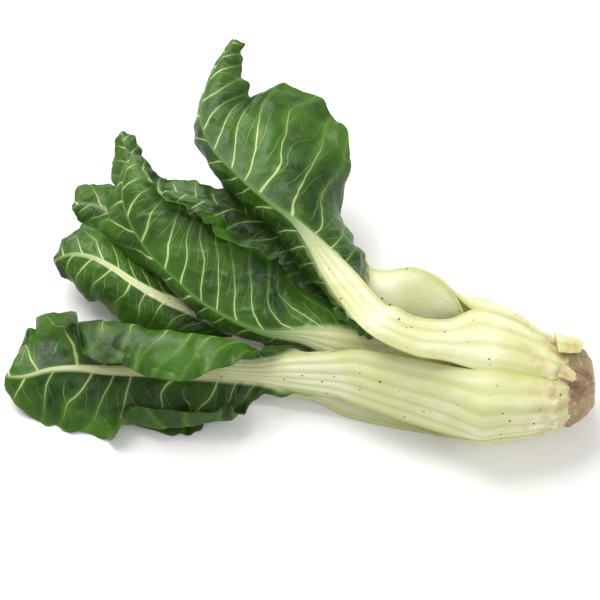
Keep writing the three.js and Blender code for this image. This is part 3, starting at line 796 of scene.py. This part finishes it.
rearLeaf = dict(
    base=[0, -80, 36],
    free=[[-86, 90, 38, -100, 46, 10, 24], [-125, 106, 21, -136, 40, 9, 20],
          [-170, 120, 4, -178, 34, 8, 8]],
    ribBelow=True,
    crease=[0.5, 0.5],
    blade=[
        [[-205, 136, 9, 24], [14, 0, -2], [13, 0, -2]],
        [[-240, 150, 7, 14], [26, -2, -4], [24, 0, -4]],
        [[-275, 160, 7, 9], [36, -2, -4], [30, 0, -6]],
        [[-305, 168, 6, 6], [34, -2, -4], [28, 0, -6]],
        [[-330, 174, 5, 4], [22, -2, -4], [20, 0, -4]],
        [[-348, 177, 4.5, 2.5], [8, 0, -2], [8, 0, -2]],
    ],
    ribFade=(0.1, 0.7),
    grid=(110, 90), tube=(80, 110), seed=21,
    veinGap=20, veinSweep=0.9, veinRelief=0.28,
    pucker=0.9, puckerSize=20, ruffle=1.4, ruffleSize=28,
    ridgeCount=3, ridge=0.5, cup=0.4,
)
growLeaf("rear", rearLeaf)


# ---- the crown: x, y and z of the middle, half width, half height, down to the flat cut
crownShape = dict(
    sections=[[5, 6, 41, 37, 28], [11, 7, 41, 38, 29], [19, 8, 41, 38, 29],
              [27, 8, 41, 34, 26], [33, 7, 41, 28, 22], [38, 5, 41, 20, 17]],
    knobs=5, knobDepth=0.04, rough=2.0, rings=90, sides=160,
)


def growCrown():
    shape = crownShape
    bpy.ops.mesh.primitive_uv_sphere_add(segments=shape["sides"], ring_count=shape["rings"], radius=1)
    crown = startMesh("rootCrown")
    ball = readVertices(crown)
    rings = shape["rings"]
    t = 1 - np.arccos(np.clip(ball[:, 2], -1, 1)) / math.pi
    t = (t * rings - 1) / (rings - 2)
    turn = np.arctan2(ball[:, 1], ball[:, 0])
    across = np.where((t < -0.001) | (t > 1.001), 0.0, 1.0)  # the poles close the two ends
    faceCut = smooth(0.86, 1.0, t)
    stations = throughStations(shape["sections"], np.clip(t / 0.86, 0, 1))
    x, y, z, wide, high = stations.T
    knob = across * (1 - faceCut * 0.96) * (1 + shape["knobDepth"] * np.cos(shape["knobs"] * turn + t * 5))
    points = np.stack([x, y - wide * knob * np.sin(turn), z + high * knob * np.cos(turn)], -1)
    lip = (1 - smooth(0.0, 0.25, t)) * bumps(points, 12, 33, 2) * 3.0
    rough = bumps(points, 9, 31, 4) * shape["rough"] + bumps(points, 3, 37, 3) * 0.4 + np.minimum(lip, 1.5)
    middle = np.stack([x, y, z], -1)
    points = points + unit(points - middle) * (rough * across)[:, None] - unit(points - middle) * 0.9
    placeVertices(crown, points)
    finishShade(crown)
    crown.data.materials.append(crownSkin)
    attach(crown, "root")
    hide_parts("crown")
    print("crown grown")


growCrown()

trimmedStubs = dict(
    stub_top=dict(start=[6, 29, 74], end=[27, 27, 70], back=-28, width=[30, 22], thick=[6, 4]),
    stub_side=dict(start=[7, 1, 75], end=[20, -6, 72.5], back=14, width=[12, 8], thick=[4, 3]),
)


def growStub(node, stub):
    sides, rings = 64, 40
    bpy.ops.mesh.primitive_uv_sphere_add(segments=sides, ring_count=rings, radius=1)
    piece = startMesh(node.replace("_", "") + "Cut")
    ball = readVertices(piece)
    t = 1 - np.arccos(np.clip(ball[:, 2], -1, 1)) / math.pi
    t = (t * rings - 1) / (rings - 2)
    step = np.rint(np.arctan2(ball[:, 1], ball[:, 0]) / (2 * math.pi) * sides).astype(int) % sides
    angle = np.arange(sides) / sides * 2 * math.pi
    s, inner = -np.cos(angle), (np.sin(angle) < -1e-6).astype(float)
    start, end = np.array(stub["start"], float), np.array(stub["end"], float)
    back = np.array([0, -math.sin(math.radians(stub["back"])), math.cos(math.radians(stub["back"]))])
    ribShape = ridges(s, 3)
    loops = []
    for k in range(rings - 1):
        w = k / (rings - 2)
        loops.append(sectionFree(start * (1 - w) + end * w, unit(end - start), back,
                                 stub["width"][0] * (1 - w) + stub["width"][1] * w,
                                 stub["thick"][0] * (1 - w) + stub["thick"][1] * w, 30,
                                 s, inner, ribShape * 0.4))
    loops = np.array(loops)
    at = np.rint(t * (rings - 2)).astype(int)
    points = loops[np.clip(at, 0, rings - 2), step]
    points[at < 0] = loops[0].mean(axis=0)
    points[at > rings - 2] = loops[-1].mean(axis=0)
    tipward = np.clip(t, 0, 1)
    torn = smooth(0.55, 1.0, tipward) * bumps(points * [0.2, 1, 1], 5, 43, 3) * 3.0
    torn = torn - 2.0 * s[step] ** 2 * smooth(0.5, 1, tipward)
    points = points + bumps(points, 8, 41, 3)[:, None] * unit(points - (start + end) / 2) * 0.8
    points = points + unit(end - start) * torn[:, None]
    placeVertices(piece, points)
    # mask of the valleys between the ribs, where the groove tint and its painted shade go
    addField(piece, "grooveTintAndShade", (1 - ribShape[step]) * (1 - inner[step]))
    addField(piece, "ribPale", np.ones(len(points)))
    finishShade(piece)
    piece.data.materials.append(stalkFlesh)
    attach(piece, "root")
    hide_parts(node)


for node, stub in trimmedStubs.items():
    growStub(node, stub)
print("stubs grown")


# ---- floor, light and camera
def addLamp(name, place, aim, size, power, tint=(1, 1, 1)):
    bpy.ops.object.light_add(type="AREA", location=place)
    lamp = startLamp(name)
    lamp.data.size = size
    lamp.data.energy = power
    lamp.data.color = tint
    lamp.rotation_euler = (Vector(aim) - Vector(place)).to_track_quat("-Z", "Y").to_euler()


def startLamp(name):
    lamp = bpy.context.active_object
    lamp.name = name
    return lamp


stageSetup = dict(
    floorSize=6, floorColour=(0.98, 0.98, 0.975, 1), skyStrength=0.58,
    aim=(0.0036, -0.0426, 0.04), elevation=60, distance=1.6, lens=111.6,
)


def setStage():
    setup = stageSetup
    bpy.ops.mesh.primitive_plane_add(size=setup["floorSize"], location=(0, 0, -0.0003))
    floor = bpy.context.active_object
    floor.name = "floor"
    paint = bpy.data.materials.new("paleFloor")
    paint.use_nodes = True
    paint.node_tree.nodes["Principled BSDF"].inputs["Base Color"].default_value = setup["floorColour"]
    paint.node_tree.nodes["Principled BSDF"].inputs["Roughness"].default_value = 0.9
    floor.data.materials.append(paint)
    sky = bpy.data.worlds.new("softSky")
    sky.use_nodes = True
    sky.node_tree.nodes["Background"].inputs["Color"].default_value = (1, 1, 1, 1)
    sky.node_tree.nodes["Background"].inputs["Strength"].default_value = setup["skyStrength"]
    bpy.context.scene.world = sky
    addLamp("keyLamp", (-0.5, 0.8, 1.5), (0, 0, 0), 1.2, 32, (1, 0.99, 0.96))
    addLamp("fillLamp", (0.9, -0.9, 1.3), (0, 0, 0), 1.2, 7)
    aim = Vector(setup["aim"])
    tilt = math.radians(setup["elevation"])
    spot = aim + Vector((0, -math.cos(tilt), math.sin(tilt))) * setup["distance"]
    bpy.ops.object.camera_add(location=spot)
    camera = bpy.context.active_object
    camera.rotation_euler = (aim - spot).to_track_quat("-Z", "Y").to_euler()
    camera.data.lens = setup["lens"]
    camera.data.sensor_width = 36
    bpy.context.scene.camera = camera
    bpy.context.scene.view_settings.view_transform = "Standard"


setStage()
